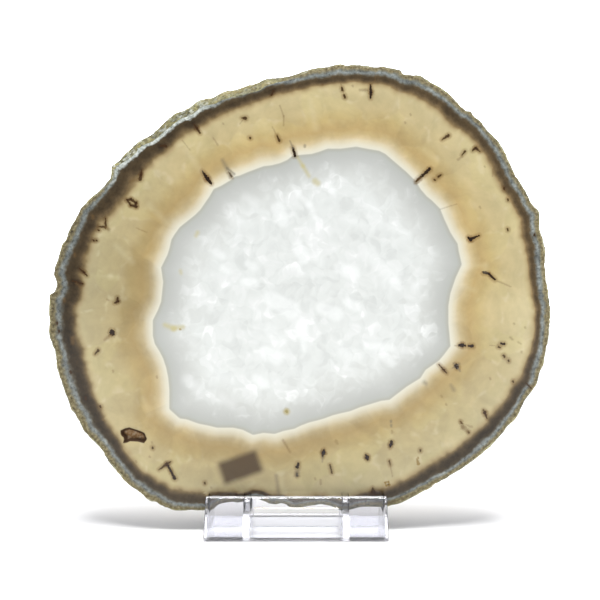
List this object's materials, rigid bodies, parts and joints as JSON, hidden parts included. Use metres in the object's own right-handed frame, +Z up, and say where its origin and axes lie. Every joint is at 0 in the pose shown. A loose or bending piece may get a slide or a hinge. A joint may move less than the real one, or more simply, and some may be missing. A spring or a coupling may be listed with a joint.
{
  "type": "agate slice on a display stand",
  "caption": "Large flat agate slice with a polished face and a natural rough rim, standing upright in the slot of a low clear moulded stand, with a blank sticker on its back.",
  "frame": {"origin": "middle of the object's box at the foot of the stand, on the surface it stands on", "axes": "+X to the right across the polished face, -Y out of the polished face towards the viewer, +Z up"},
  "size_m": [0.2446, 0.04, 0.2266],
  "materials": {
    "agate": "polished banded chalcedony with a white quartz core, rough natural skin on the rim",
    "clear_plastic": "clear injection-moulded polystyrene",
    "label_paper": "blank matt paper sticker"
  },
  "bodies": {
    "root": {"agate_slice": "agate", "display_stand": "clear_plastic", "back_label": "label_paper"}
  },
  "joints": []
}
